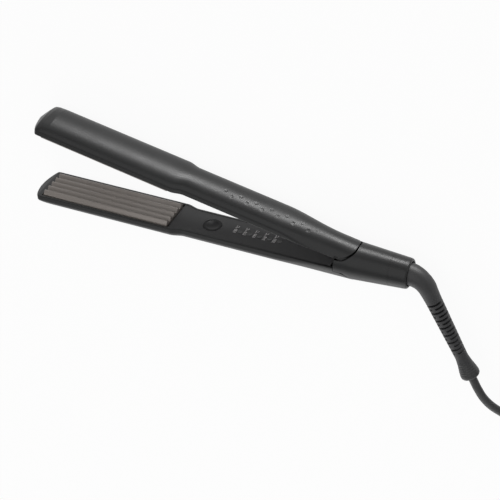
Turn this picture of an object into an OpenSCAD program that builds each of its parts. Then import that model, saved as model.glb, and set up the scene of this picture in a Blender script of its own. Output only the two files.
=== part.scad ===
// Hair crimper: two hinged arms with corrugated heating plates, a round hinge housing
// and a mains lead on a swivelling strain relief, folded into a tied hank.
// It lies on its side. +X runs along the lower arm towards the lead, +Y from the lower
// arm to the upper arm, +Z across the arms, up from the surface. Lengths in millimetres.
//
// Each arm is drawn in its own frame: the hinge axis is Z through the origin, the tip is
// at -X, and y = 0 is the plane in which the two plates meet. The upper arm lies at y > 0
// and turns open about Z. The lower arm is its mirror image and stays still.

/* [Arms] */
// Width of an arm over the heating plate
arm_w = 28.6; // [27:0.1:32]
// Width of the handle
handle_w = 24.2; // [23:0.1:25.5]
// Height from the plane where the plates meet to the back of an arm
arm_h = 11; // [10.5:0.1:12]
// Height at which an arm's flat side turns into its rounded back
side_h = 4.5; // [4:0.1:4.8]
// Wall of the two arm shells
wall = 1.5; // [1.2:0.1:1.6]
// Height of the shell's edge over the plane where the plates meet
lip = 1.6; // [1.4:0.1:1.8]
// Length of the tip in front of the plate
tip_l = 7.5; // [6:0.5:9]
// Radius of the tip's outline
tip_r = 28; // [24:1:32]
// Height of the bevelled nose at the very tip
tip_h = 4.6; // [4.2:0.1:5.4]
// Distance from the plate to the hinge axis
handle_l = 133; // [128:1:145]
// Length over which the wide plate zone narrows to the handle
waist_l = 9; // [6:1:12]
// Angle between the arms when they are let go
open_angle = 11.6; // [8:0.2:12]

/* [Heating plates] */
// Length of a plate
plate_l = 90; // [70:1:100]
// Width of a plate
plate_w = 24; // [22:0.2:24.4]
// Number of waves across a plate
wave_count = 5; // [4:1:6]
// Height of a wave
wave_h = 2.2; // [1.6:0.1:2.4]
// Metal below the waves
plate_base = 3.2; // [3:0.1:3.3]
// Gap left between the waves of the closed plates
closed_gap = 0.6; // [0.5:0.05:0.7]
// Height of the seat that carries a plate
seat_h = 3.5; // [3.4:0.1:3.5]
// Length of the heating element
heater_l = 70; // [50:1:76]
// Width of the heating element
heater_w = 13; // [10:1:13]
// Thickness of the heating element
heater_t = 2.2; // [1.8:0.1:2.3]
// Thickness of the insulating sheet behind it
insulator_t = 0.6; // [0.4:0.1:0.8]

/* [Controls] */
// Thickness of the inner covers
cover_t = 1.5; // [1.2:0.1:1.6]
// Diameter of the power button
button_d = 11.7; // [10:0.1:13]
// Distance from the plate to the button's centre
button_back = 26.8; // [24:0.1:32]
// Travel of the button
button_travel = 0.6; // [0.4:0.1:0.6]
// Number of indicator lights
light_count = 5; // [3:1:6]
// Spacing of the indicator lights
light_pitch = 6.7; // [6:0.1:8]
// Diameter of an indicator light
light_d = 1.7; // [1.4:0.1:2]
// Distance from the button's centre to the first light
light_back = 19.1; // [17:0.1:22]
// Length of the circuit board
board_l = 62; // [60:1:64]
// Thickness of the circuit board
board_t = 1.2; // [1:0.1:1.6]

/* [Hinge] */
// Radius of the hinge housing where it meets the arms
hub_front_r = 12; // [11.9:0.1:12.2]
// Radius of the hinge housing at the lead
hub_rear_r = 9.5; // [9.4:0.1:10]
// Length of the housing's side noses in front of the hinge axis
hub_nose = 19.6; // [19:0.2:21]
// Length of the housing behind the hinge axis
hub_back = 26.2; // [26:0.2:28]
// Distance of the housing's axis below the plane where the plates meet
hub_drop = 0.8; // [0.6:0.1:0.9]
// Wall of the housing
hub_wall = 1.4; // [1.3:0.1:1.4]
// Length of the rear ring that holds the swivel
ring_l = 11.4; // [11:0.2:12]
// Diameter of the hinge pin
pin_d = 3; // [2.5:0.1:3.2]
// Radial play of the moving eyes on the pin
pin_play = 0.05; // [0.03:0.01:0.08]
// Outer radius of the eyes round the pin
eye_r = 3.6; // [3.2:0.1:3.8]
// Thickness of one eye of the upper bracket
eye_t = 2.2; // [1.8:0.1:2.2]
// Thickness of the sheet-steel bracket plates
bracket_t = 1.2; // [1:0.1:1.3]
// Wire of the opening spring
wire_d = 1.1; // [0.8:0.1:1.1]

/* [Lead] */
// Diameter of the mains lead
lead_d = 5.4; // [5:0.1:6]
// Radius of the swivelling root of the strain relief
root_r = 7.3; // [7:0.05:7.4]
// Radius of the strain relief's bend
elbow_r = 15; // [14:0.5:18]
// Angle of the strain relief's bend
elbow_angle = 63.2; // [55:0.2:70]
// Number of slots in the flexible part
slot_count = 14; // [10:1:15]
// Spacing of the slots
slot_pitch = 2.86; // [2.6:0.02:2.9]
// Width of a slot
slot_w = 0.9; // [0.6:0.1:1.1]
// Length of a straight run of the hank
hank_run = 95; // [85:1:105]
// Gap left between neighbouring turns
hank_gap = 1.1; // [1:0.1:1.6]
// Radius of the innermost fold
fold_r = 17; // [16.5:0.5:20]
// Length of the plug's body
plug_l = 36; // [32:1:40]
// Diameter of the plug's pins
plug_pin_d = 4; // [4:0.1:4]
// Length of the plug's pins
plug_pin_l = 19; // [19:0.5:19]
// Spacing of the plug's pins
plug_pin_pitch = 18.6; // [18:0.1:19.2]

/* [Hidden] */

// Places along an arm, counted from the hinge axis
plate_end = -handle_l;
plate_start = plate_end - plate_l;
tip_x = plate_start - tip_l;
waist_start = plate_end + 5;
nose_x = -hub_nose;
cover_start = plate_end + 1.3;
cover_end = nose_x - 2.4;
heater_start = plate_start + (plate_l - heater_l) / 2;
button_x = plate_end + button_back;
light_x = button_x + light_back;

// Clearances
seat_gap = 0.15;
run_gap = 0.3;
seam_gap = 0.25;
rim_gap = 0.8;

// Where the whole crimper lies: on its side, centred on its own box
mid_x = (tip_x + hub_back) / 2;
top_y = (handle_l + plate_l) * sin(open_angle) + (arm_h - 0.7) * cos(open_angle);
mid_y = (top_y - hub_drop - hub_front_r) / 2;
mid_z = arm_w / 2;

// Housing
cone_start = nose_x + 9.6;
ring_x = hub_back - ring_l;
function hub_r(x) = let(t = (x - cone_start) / (hub_back - cone_start))
  hub_front_r + (hub_rear_r - hub_front_r) * max(0, t);
tongue_x = nose_x + 10.4;
tongue_w = hub_front_r - 1.6;
lower_seam_x = nose_x + 12.6;
seam_r = 8;

// Inner covers
cover_face = lip + 0.2;
cover_back = cover_face + cover_t;

// Bracket plate and its screws
bracket_y = cover_back + 0.3;
bracket_start = nose_x - 26.4;
screw_xs = [bracket_start + 5, bracket_start + 18];
screw_r = 1;
screw_head_r = 2;
boss_r = 2.6;
ear_top = bracket_y + bracket_t;
inner_eye_z = 4.2;
outer_eye_z = inner_eye_z + eye_t + 0.2;
outer_eye_t = 1.8;
bracket_z = outer_eye_z + outer_eye_t;
pin_half = bracket_z + 1.2;

// Controls
board_y = cover_back + 2.9;
board_w = 14.4;
board_start = (cover_start + screw_xs[0] - boss_r - board_l) / 2;
flange_y = cover_back + 0.15;

// Swivel
bulkhead_x = ring_x - 8;
bulkhead_t = 2;
chamber_r = hub_rear_r - 0.5;
ring_bore_r = root_r + 0.6;
root_x = ring_x + 1;
elbow_x = hub_back - 2.2;

// Strain relief, along its straight part
relief_l = 66.8;
relief_r = 5.9;
slot_start = 9;

function smooth(t) = let(u = min(1, max(0, t))) u * u * (3 - 2 * u);
function mix(a, b, t) = a + (b - a) * t;

// ---- Arm sections ----
blend_l = 38;
blend_start = nose_x - 2.4 - blend_l;
arc_steps = 16;

function rear_blend(x) = smooth((x - blend_start) / blend_l);
function waist(x) = smooth((x - waist_start) / waist_l);
function soft_min(a, b) = pow(pow(a, -20) + pow(b, -20), -1 / 20);
function tip_half_w(x) =
  let(d = min(tip_r, x - tip_x)) sqrt(max(0.01, tip_r * tip_r - pow(tip_r - d, 2)));
function half_w(x, rear) =
  soft_min(tip_half_w(x), mix(mix(arm_w / 2, handle_w / 2, waist(x)), rear[0], rear_blend(x)));
function centre_y(x, rear) =
  mix(min(side_h, tip_h - 1.6 + (x - tip_x) * 0.4), rear[1], rear_blend(x));
function back_y(x, rear) =
  let(rise = lookup(x - tip_x, [[0, 0], [4.2, 0.69], [7, 0.89], [12, 1]]))
  mix(mix(tip_h, arm_h, rise), rear[2], rear_blend(x));

// One D-shaped outline: two edge points and an elliptical back
function section(x, rear, inset, edge) =
  let(
    w = half_w(x, rear) - inset,
    c = centre_y(x, rear),
    b = back_y(x, rear) - c - inset,
    t0 = c < edge + 0.3 ? asin((edge + 0.3 - c) / b) : 0)
  concat(
    [[x, edge, w * cos(t0)]],
    [for (i = [0:arc_steps])
      let(t = t0 + (180 - 2 * t0) * i / arc_steps) [x, c + b * sin(t), w * cos(t)]],
    [[x, edge, -w * cos(t0)]]);

function arm_stations() = concat(
  [for (i = [0:7]) tip_x + 0.08 + 12 * pow(i / 7, 1.6)],
  [plate_end],
  [for (i = [0:5]) waist_start + waist_l * i / 5],
  [for (i = [0:7]) blend_start + blend_l * i / 7],
  [nose_x + 15]);

// Closed solid through a list of outlines that have the same number of points
module loft(rings) {
  n = len(rings[0]);
  m = len(rings);
  polyhedron(
    [for (r = rings) each r],
    concat(
      [[for (i = [n - 1:-1:0]) i]],
      [for (k = [0:m - 2], i = [0:n - 1])
        [k * n + i, (k + 1) * n + (i + 1) % n, (k + 1) * n + i]],
      [for (k = [0:m - 2], i = [0:n - 1])
        [k * n + i, k * n + (i + 1) % n, (k + 1) * n + (i + 1) % n]],
      [[for (i = [0:n - 1]) (m - 1) * n + i]]),
    convexity = 8);
}

// Plan outline of an arm's end: straight sides and two rounded corners
module end_outline(end_x, half, r) {
  translate([end_x - r, half - r]) circle(r, $fn = 64);
  translate([end_x - r, r - half]) circle(r, $fn = 64);
  translate([end_x - r - 30, -half]) square([30, 2 * half]);
  translate([end_x - r - 1, r - half]) square([r + 1, 2 * (half - r)]);
}

// Extrudes a plan outline (x, z) from height y0 to y1
module rise(y0, y1) {
  translate([0, y0, 0]) rotate([-90, 0, 0]) linear_extrude(y1 - y0) mirror([0, 1]) children();
}

module laid() {
  translate([-mid_x, -mid_y, mid_z]) children();
}

module lower_side() {
  laid() mirror([0, 1, 0]) children();
}

module upper_side() {
  laid() rotate([0, 0, -open_angle]) children();
}

// Hollow arm: rear = [half width, centre height, back height] at the hinge
module arm_shell(rear, front_end, end_x, end_half) {
  cavity_start = plate_start - 0.8;
  difference() {
    intersection() {
      loft([for (x = arm_stations()) section(x, rear, 0, lip + max(0, 1.2 - (x - tip_x) * 0.3))]);
      union() {
        rise(-1, 30) translate([tip_x - 1, -20]) square([front_end - tip_x + 1, 40]);
        rise(-1, 30) end_outline(end_x, end_half, seam_r);
      }
    }
    loft([for (x = concat([cavity_start], [for (s = arm_stations()) if (s > cavity_start + 1) s]))
      section(x, rear, wall, -0.5)]);
  }
  for (x = screw_xs)
    screw_boss(x, rear);
  for (x = [plate_start + 16, plate_end - 16])
    post(x, seat_back, 2.6, rear);
  post(cover_start + 7, cover_back, 1.6, rear);
  for (side = [-1, 1])
    post(bracket_start - 5, cover_back, 1.2, rear, side * (handle_w / 2 - wall - 1.4));
}

// Height of the shell's outer face at distance z from its middle
function face_y(x, rear, z) =
  let(c = centre_y(x, rear)) c + (back_y(x, rear) - c) * sqrt(1 - pow(z / half_w(x, rear), 2));

// Post from the back of a shell down to height y
module post(x, y, r, rear, z = 0) {
  rise(y, face_y(x, rear, z == 0 ? 0 : abs(z) + r) - wall / 2)
    translate([x, z]) circle(r, $fn = 32);
}

module screw_boss(x, rear) {
  difference() {
    post(x, ear_top, boss_r, rear);
    rise(ear_top - 1, back_y(x, rear) - wall - 0.3) translate([x, 0]) circle(screw_r, $fn = 32);
  }
}

function inner_half(x, rear, y) =
  let(
    w = half_w(x, rear) - wall,
    c = centre_y(x, rear),
    b = back_y(x, rear) - c - wall)
  y > c ? w * sqrt(1 - pow((y - c) / b, 2)) : w;

// Inner cover of a handle, a plate that follows the arm's outline inside the shell
module arm_cover(rear) {
  xs = concat([for (i = [0:5]) cover_start + (waist_start + waist_l - cover_start) * i / 5],
    [for (i = [0:5]) mix(blend_start, cover_end, i / 5)]);
  rise(cover_face, cover_back)
    polygon(concat(
      [for (x = xs) [x, inner_half(x, rear, cover_back) - seat_gap]],
      [for (i = [len(xs) - 1:-1:0]) [xs[i], seat_gap - inner_half(xs[i], rear, cover_back)]]));
}

// ---- Heating plate and what lies behind it ----
wave_pitch = plate_w / wave_count;
plate_bottom = closed_gap / 2 + wave_h / 2 + plate_base - 0.1;
channel_z = 8.4;

seat_back = plate_bottom + seat_h;
step_y = plate_bottom - 1.1;
foot_w = plate_w - 1.6;

// Extrudes an outline (z, y) along the arm from x0 over length l
module along(x0, l) {
  translate([x0, 0, 0]) rotate([90, 0, 90]) linear_extrude(l) rotate(90) mirror([0, 1]) children();
}

// The waves run along the arm. phase 1 puts a ridge on the middle, phase -1 a valley.
module crimp_plate(phase) {
  steps = wave_count * 12;
  along(plate_start, plate_l)
    polygon(concat(
      [for (i = [0:steps])
        let(z = -plate_w / 2 + plate_w * i / steps)
        [z, closed_gap / 2 - phase * wave_h / 2 * cos(360 * z / wave_pitch)]],
      [[plate_w / 2, step_y], [foot_w / 2, step_y], [foot_w / 2, plate_bottom],
        [-foot_w / 2, plate_bottom], [-foot_w / 2, step_y], [-plate_w / 2, step_y]]));
}

module seat_profile(h) {
  half = arm_w / 2 - wall - 0.5;
  polygon([[-half, step_y], [half, step_y], [half, plate_bottom + 0.6], [8.7, plate_bottom + h],
    [-8.7, plate_bottom + h], [-half, plate_bottom + 0.6]]);
}

module plate_seat() {
  difference() {
    union() {
      along(plate_start - 0.5, 5.5) seat_profile(seat_h - 0.8);
      along(plate_start + 4.5, plate_l - 3.5) seat_profile(seat_h);
    }
    // Bed of the plate
    rise(-1, plate_bottom) translate([plate_start - seat_gap, -foot_w / 2 - seat_gap])
      square([plate_l + 2 * seat_gap, foot_w + 2 * seat_gap]);
    // Pocket of the heating element and the insulating sheet
    rise(0, plate_bottom + heater_t + insulator_t) heater_outline(seat_gap);
    // Channel of the fuse or the sensor, beside the pocket
    rise(0, plate_bottom + 2.1)
      translate([heater_start + 10, channel_z - 1.15]) square([12, 2.3]);
  }
}

module heater_outline(gap) {
  translate([heater_start - gap, -heater_w / 2 - gap])
    square([heater_l + 2 * gap, heater_w + 2 * gap]);
}

module heater() {
  rise(plate_bottom, plate_bottom + heater_t) heater_outline(0);
}

module insulator() {
  rise(plate_bottom + heater_t, plate_bottom + heater_t + insulator_t) heater_outline(0);
}

// Small round component with its two wires, in the channel beside the heater
module axial_part(body_l, body_d) {
  x0 = heater_start + 10.3;
  translate([x0, plate_bottom + body_d / 2, channel_z]) rotate([0, 90, 0]) {
    translate([0, 0, (11.4 - body_l) / 2]) cylinder(d = body_d, h = body_l, $fn = 32);
    cylinder(d = 0.6, h = 11.4, $fn = 16);
  }
}

// ---- Brackets ----
module bracket(eye_z, ear_t, bore_r) {
  outer_z = eye_z + ear_t;
  difference() {
    union() {
      rise(bracket_y, ear_top)
        translate([bracket_start, -outer_z]) square([cover_end + 3.8 - bracket_start, 2 * outer_z]);
      for (side = [-1, 1])
        translate([0, 0, side > 0 ? eye_z : -outer_z]) linear_extrude(ear_t) {
          circle(eye_r, $fn = 64);
          polygon([[cover_end + 0.8, bracket_y], [cover_end + 0.8, ear_top], [-12, ear_top],
            [-eye_r * sin(20), eye_r * cos(20)], [-eye_r * sin(20), -eye_r * cos(20)],
            [-7.3, -0.9], [-12, 0.4], [cover_end + 0.8, 1.8]]);
        }
    }
    translate([0, 0, -outer_z - 1]) cylinder(r = bore_r, h = 2 * outer_z + 2, $fn = 64);
    for (x = screw_xs)
      screw(x, ear_top + 1, 0.05);
  }
}

// Countersunk screw, its head flush with the bracket plate
module screw(x, end_y, gap) {
  translate([x, bracket_y, 0]) rotate([-90, 0, 0]) rotate_extrude($fn = 32)
    polygon([[0, 0], [screw_head_r + gap, 0], [screw_r + gap, screw_head_r - screw_r],
      [screw_r + gap, end_y - bracket_y], [0, end_y - bracket_y]]);
}

module bracket_screws(rear) {
  for (x = screw_xs)
    screw(x, back_y(x, rear) - wall - 0.6, -0.02);
}

// ---- Lower arm ----
lower_rear = [hub_front_r, hub_drop, hub_front_r + hub_drop];
upper_rear = [hub_front_r, -hub_drop - 1.8, hub_front_r - hub_drop - 1.8];
lower_w = hub_front_r - 0.65;

module lower_shell() {
  color("#3b3c3e") lower_side() {
    arm_shell(lower_rear, nose_x - seam_gap, lower_seam_x - seam_gap, lower_w);
    for (x = [board_start + 3, board_start + board_l - 3])
      post(x, board_y + board_t, 1.8, lower_rear);
  }
}

module lower_cover() {
  color("#242527") lower_side() difference() {
    arm_cover(lower_rear);
    rise(0, 10) translate([button_x, 0]) circle(button_d / 2 + 0.25, $fn = 64);
    for (i = [0:light_count - 1])
      rise(0, 10) translate([light_x + i * light_pitch, 0]) circle(light_d / 2 + 0.1, $fn = 32);
  }
}

module lower_plate() {
  color("#8d857e") lower_side() crimp_plate(1);
}

module lower_plate_seat() {
  color("#1c1c1e") lower_side() plate_seat();
}

module lower_heater() {
  color("#d8d2c4") lower_side() heater();
}

module lower_insulator() {
  color("#b59c6a") lower_side() insulator();
}

module thermal_fuse() {
  color("#b8bcc0") lower_side() axial_part(7.5, 1.9);
}

module circuit_board() {
  color("#1f6a3c") lower_side() rise(board_y, board_y + board_t)
    translate([board_start, -board_w / 2]) square([board_l, board_w]);
}

module board_parts() {
  color("#2b2d30") lower_side() {
    // Push switch under the button
    rise(board_y - 1.2, board_y) translate([button_x - 2.6, -2.6]) square(5.2);
    rise(board_y - 1.4, board_y - 1.2) translate([button_x, 0]) circle(1.4, $fn = 32);
    // Lamps under the light guides
    for (i = [0:light_count - 1])
      rise(board_y - 0.6, board_y)
        translate([light_x + i * light_pitch - 0.9, -0.7]) square([1.8, 1.4]);
    // Mains capacitor, triac and controller beside the lamps
    rise(board_y - 2.4, board_y) translate([light_x + 12, 2.2]) square([10, 4.6]);
    rise(board_y - 1.6, board_y) translate([light_x + 2, 2.4]) square([6, 4.2]);
    rise(board_y - 1.2, board_y) translate([light_x + 4, -6.8]) square([7, 4.6]);
  }
}

module light_guides() {
  strip_w = 2.8;
  strip_end = light_d / 2 + 0.1;
  color("#c9ccd0") lower_side() {
    for (i = [0:light_count - 1])
      rise(cover_face, board_y - 0.75)
        translate([light_x + i * light_pitch, 0]) circle(light_d / 2, $fn = 32);
    rise(cover_back, cover_back + 0.8)
      translate([light_x - strip_end, -strip_w / 2])
        square([light_pitch * (light_count - 1) + 2 * strip_end, strip_w]);
  }
}

module power_button() {
  dish_r = 16;
  color("#1b1c1e") lower_side() difference() {
    union() {
      rise(cover_face - 0.1, flange_y + 0.6) translate([button_x, 0]) circle(button_d / 2, $fn = 64);
      rise(flange_y, flange_y + 0.6) translate([button_x, 0]) circle(button_d / 2 + 0.9, $fn = 64);
    }
    translate([button_x, cover_face + 0.55 - dish_r, 0]) sphere(dish_r, $fn = 64);
  }
}

// ---- Hinge ----
module about_axis() {
  translate([0, -hub_drop, 0]) rotate([0, 90, 0]) rotate_extrude($fn = 96) children();
}

module housing_profile(inner_r) {
  polygon([
    [inner_r, nose_x], [hub_front_r, nose_x], [hub_front_r, cone_start],
    [hub_r(ring_x), ring_x], [chamber_r, ring_x], [chamber_r, bulkhead_x + bulkhead_t],
    [3, bulkhead_x + bulkhead_t], [3, bulkhead_x],
    [hub_r(bulkhead_x) - hub_wall, bulkhead_x], [inner_r, cone_start]]);
}

module hinge_housing() {
  inner_r = hub_front_r - hub_wall;
  color("#3b3c3e") laid() difference() {
    union() {
      about_axis() housing_profile(inner_r);
      // Bosses that take the ends of the hinge pin
      for (side = [-1, 1])
        translate([0, 0, side > 0 ? bracket_z : -inner_r])
          cylinder(r = 3, h = inner_r - bracket_z, $fn = 48);
    }
    translate([0, 0, -pin_half]) cylinder(d = pin_d + 0.04, h = 2 * pin_half, $fn = 64);
    // Mouth of the upper arm, open and closed
    for (a = [0, open_angle / 2, open_angle])
      rotate([0, 0, -a])
        rise(lip - 0.3, 30) end_outline(tongue_x + rim_gap, tongue_w + 0.5, seam_r);
    // Seat of the lower arm
    mirror([0, 1, 0])
      rise(lip - 0.3, 30) end_outline(lower_seam_x, lower_w + seam_gap, seam_r);
  }
}

module rear_ring() {
  edge_r = 1.3;
  color("#3b3c3e") laid() about_axis() polygon(concat(
    [[ring_bore_r, ring_x - 3.2], [chamber_r - 0.02, ring_x - 3.2],
      [chamber_r - 0.02, ring_x], [hub_r(ring_x) - 0.2, ring_x], [hub_r(ring_x), ring_x + 0.2]],
    [for (a = [0:15:90])
      [hub_rear_r - edge_r + edge_r * cos(a), hub_back - edge_r + edge_r * sin(a)]],
    [[ring_bore_r, hub_back]]));
}

module lower_bracket() {
  color("#a3a6aa") lower_side() bracket(outer_eye_z, outer_eye_t, pin_d / 2 + 0.02);
}

module lower_screws() {
  color("#8f9397") lower_side() bracket_screws(lower_rear);
}

module hinge_pin() {
  color("#c3c6ca") laid() translate([0, 0, 0.2 - pin_half])
    cylinder(d = pin_d, h = 2 * pin_half - 0.4, $fn = 64);
}

// Torsion spring round the pin. Its legs run forwards inside the arms.
module arm_spring() {
  turns = 4.5;
  mean_r = pin_d / 2 + wire_d / 2 + 0.5;
  rise_z = wire_d + 0.25;
  steps = 16;
  leg = 15;
  turn_path = [for (k = [0:turns * steps])
    let(a = 90 + 360 * k / steps)
    [mean_r * cos(a), mean_r * sin(a), rise_z * (k / steps - turns / 2)]];
  last = turn_path[len(turn_path) - 1];
  path = concat([[-leg, mean_r - 0.6, turn_path[0][2]]], turn_path, [[-leg, last[1] + 0.6, last[2]]]);
  color("#b5b8bc") laid() tube(path, wire_d / 2, 6);
}

// ---- Upper arm ----
module upper_shell() {
  color("#3b3c3e") upper_side() arm_shell(upper_rear, nose_x - 0.5, tongue_x, tongue_w);
}

module upper_cover() {
  color("#242527") upper_side() arm_cover(upper_rear);
}

module upper_plate() {
  color("#8d857e") upper_side() crimp_plate(-1);
}

module upper_plate_seat() {
  color("#1c1c1e") upper_side() plate_seat();
}

module upper_heater() {
  color("#d8d2c4") upper_side() heater();
}

module upper_insulator() {
  color("#b59c6a") upper_side() insulator();
}

module temperature_sensor() {
  color("#d0d3d6") upper_side() axial_part(4, 1.8);
}

module upper_bracket() {
  color("#a3a6aa") upper_side() bracket(inner_eye_z, eye_t, pin_d / 2 + pin_play);
}

module upper_screws() {
  color("#8f9397") upper_side() bracket_screws(upper_rear);
}

// ---- Swivel and strain relief ----
module cord_swivel() {
  flange_x = bulkhead_x + bulkhead_t + run_gap;
  color("#7d8084") laid() about_axis() polygon([
    [2.7, flange_x], [chamber_r - 0.5, flange_x], [chamber_r - 0.5, flange_x + 2.1],
    [ring_bore_r - pin_play, flange_x + 2.1], [ring_bore_r - pin_play, root_x],
    [5, root_x], [5, root_x + 6], [2.7, root_x + 6]]);
}

elbow_drop = elbow_r * (1 - cos(elbow_angle));
elbow_reach = elbow_r * sin(elbow_angle);

// Puts the straight part's axis along +Z, starting where the bend ends
module along_relief() {
  translate([elbow_x + elbow_reach, -hub_drop - elbow_drop, 0])
    rotate([0, 0, -elbow_angle]) rotate([0, 90, 0]) children();
}

// Round section of the bend, tapering from the root to the flexible part
function elbow_ring(t) =
  let(
    a = elbow_angle * t,
    r = lookup(t, [[0, root_r - 0.15], [0.3, root_r - 0.4], [0.6, root_r - 0.9], [1, relief_r]]),
    centre = [elbow_x + elbow_r * sin(a), -hub_drop - elbow_r * (1 - cos(a)), 0],
    side = [sin(a), cos(a), 0])
  [for (i = [0:31])
    let(b = 360 * (i + 0.5) / 32) centre + r * (cos(b) * side - sin(b) * [0, 0, 1])];

function middle(ring) = let(n = len(ring)) [for (i = [0:n - 1]) 1 / n] * ring;
function shift_ring(ring, by, scale) =
  let(c = middle(ring)) [for (p = ring) c + by + scale * (p - c)];

module strain_relief() {
  neck_r = 5.1;
  end_r = 4.15;
  core_r = 3.4;
  web_w = 2.6;
  slots_l = (slot_count - 1) * slot_pitch + slot_w;
  slots_end = slot_start + slots_l + 1.2;
  color("#303134") laid() {
    // Root that turns in the rear ring
    about_axis() polygon([[5.05, root_x], [root_r, root_x], [root_r, elbow_x], [0, elbow_x],
      [0, root_x + 6.2], [5.05, root_x + 6.2]]);
    // Bend
    loft(concat(
      [shift_ring(elbow_ring(0), [-0.6, 0, 0], 0.97)],
      [for (i = [0:12]) elbow_ring(i / 12)],
      [shift_ring(elbow_ring(1), 0.6 * relief_dir, 0.95)]));
    // Flexible part and bell
    along_relief() difference() {
      rotate_extrude($fn = 64) polygon([
        [0, -0.3], [relief_r + 0.1, -0.3], [relief_r, 0.3], [relief_r - 0.4, 2.4], [neck_r + 0.1, 5.4],
        [neck_r, 7], [neck_r, slot_start - 0.8], [end_r, slots_end],
        [end_r - 0.1, slots_end + 2.6], [end_r + 0.15, relief_l - 13.4],
        [end_r + 0.8, relief_l - 10], [end_r + 1.4, relief_l - 6.8], [end_r + 1.7, relief_l - 4.5],
        [end_r + 1.65, relief_l - 2.2], [end_r + 1.35, relief_l - 0.9],
        [end_r + 0.75, relief_l - 0.2], [end_r, relief_l], [0, relief_l]]);
      for (i = [0:slot_count - 1])
        translate([0, 0, slot_start + i * slot_pitch]) difference() {
          cylinder(r = root_r, h = slot_w, $fn = 48);
          translate([0, 0, -1]) cylinder(r = core_r, h = slot_w + 2, $fn = 48);
          rotate([0, 0, i % 2 == 0 ? 0 : 90])
            translate([-root_r - 1, -web_w / 2, -1]) cube([2 * root_r + 2, web_w, slot_w + 2]);
        }
    }
  }
}

// ---- Lead ----
function unit(v) = v / norm(v);
function tangent(path, k) =
  unit(path[min(k + 1, len(path) - 1)] - path[max(k - 1, 0)]);
function across(t) = unit(abs(t[2]) > 0.9 ? cross([1, 0, 0], t) : cross([0, 0, 1], t));

// Round tube along a list of points, as one closed surface
module tube(path, r, sides) {
  loft([for (k = [0:len(path) - 1])
    let(t = tangent(path, k), u = across(t), v = cross(t, u))
    [for (i = [0:sides - 1])
      let(a = -360 * (i + 0.5) / sides) path[k] + r * (cos(a) * u + sin(a) * v)]]);
}

// Smooth curve through hand-placed points
function curve_point(p, k, t) =
  let(
    a = p[max(k - 1, 0)],
    b = p[k],
    c = p[k + 1],
    d = p[min(k + 2, len(p) - 1)])
  0.5 * (2 * b + (c - a) * t + (2 * a - 5 * b + 4 * c - d) * t * t
    + (3 * b - a - 3 * c + d) * t * t * t);
function curve(p, steps) = concat(
  [for (k = [0:len(p) - 2], i = [0:steps - 1]) curve_point(p, k, i / steps)],
  [p[len(p) - 1]]);

lead_r = lead_d / 2;
relief_dir = [cos(elbow_angle), -sin(elbow_angle), 0];
relief_end = [elbow_x + elbow_reach - mid_x, -hub_drop - elbow_drop - mid_y, mid_z]
  + relief_l * relief_dir;

// Route from the strain relief down to the surface and over to the hank
lead_route = [
  [178.2, -106.4, 13.3], [182.8, -113.6, 10.8], [188.8, -120.2, 7.4], [196.6, -125.6, 4.6],
  [206, -128.8, 3.1], [215, -129.9, 2.75]];
hank_start = [235, -130, 2.75];
lead_path = concat(
  curve(concat([for (i = [0:2]) relief_end + i * lead_d * relief_dir], lead_route,
    [hank_start - [2 * lead_d, 0, 0]]), 3),
  [hank_start - [lead_d, 0, 0]]);

// Hank: racetrack turns that spiral in on the lower layer and out on the upper one
turn_steps = 24;
run_share = 0.25;
hank_turns = 6.25;
turn_back = hank_turns / 2;
hank_step = lead_d + hank_gap;
layer_h = lead_d + 0.6;
waist_half = 3.3;
waist_lift = 1.4;
hank_outer_r = fold_r + turn_back * hank_step;
hank_centre = hank_start + [hank_run / 2, hank_outer_r, 0];

function waist_share(x) = (1 + cos(360 * x / hank_run)) / 2;
function hank_point(u) =
  let(
    p = u - floor(u + 1e-6),
    r = fold_r + hank_step * abs(u - turn_back),
    h = layer_h * smooth((u - turn_back) / run_share + 0.5),
    near = p <= run_share + 1e-6,
    far = p >= 0.5 - 1e-6 && p <= 0.5 + run_share + 1e-6,
    x = near ? hank_run * (p / run_share - 0.5) : hank_run * (0.5 - (p - 0.5) / run_share),
    a = 180 * (p - (p < 0.5 ? run_share : 0.5 + run_share)) / (0.5 - run_share),
    y = r - (fold_r - waist_half) * waist_share(x))
  near ? [x, -y, h + waist_lift * waist_share(x)]
  : far ? [x, y, h + waist_lift * waist_share(x)]
  : p < 0.5 ? [hank_run / 2 + r * sin(a), -r * cos(a), h]
  : [-hank_run / 2 - r * sin(a), r * cos(a), h];

turn_points = [for (k = [0:hank_turns * turn_steps]) hank_centre + hank_point(k / turn_steps)];
hank_end = turn_points[len(turn_points) - 1];
plug_axis_z = 7;
tail_l = 32.4;
plug_x = hank_end[0] + tail_l;
hank_path = concat(
  [hank_start - [lead_d, 0, 0]],
  turn_points,
  [hank_end + [lead_d, 0, 0], hank_end + [lead_d + 5, 0, 0],
    hank_end + [21, 0, (plug_axis_z - hank_end[2]) * 0.9],
    [plug_x - lead_d, hank_end[1], plug_axis_z],
    [plug_x, hank_end[1], plug_axis_z]]);

// Least distance between points of the hank that lie most of a turn apart
hank_clearance = min([for (i = [0:len(turn_points) - 1], j = [i + 16:1:len(turn_points) - 1])
  norm(turn_points[i] - turn_points[j])]) - lead_d;
echo(hank_clearance = hank_clearance);
function path_length(p) = let(d = [for (k = [1:len(p) - 1]) norm(p[k] - p[k - 1])])
  d * [for (x = d) 1];
echo(cord_length = path_length(lead_path) + path_length(hank_path));

module power_cord() {
  color("#26272a") tube(lead_path, lead_r, 10);
}

module cord_hank() {
  color("#26272a") tube(hank_path, lead_r, 6);
}

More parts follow.
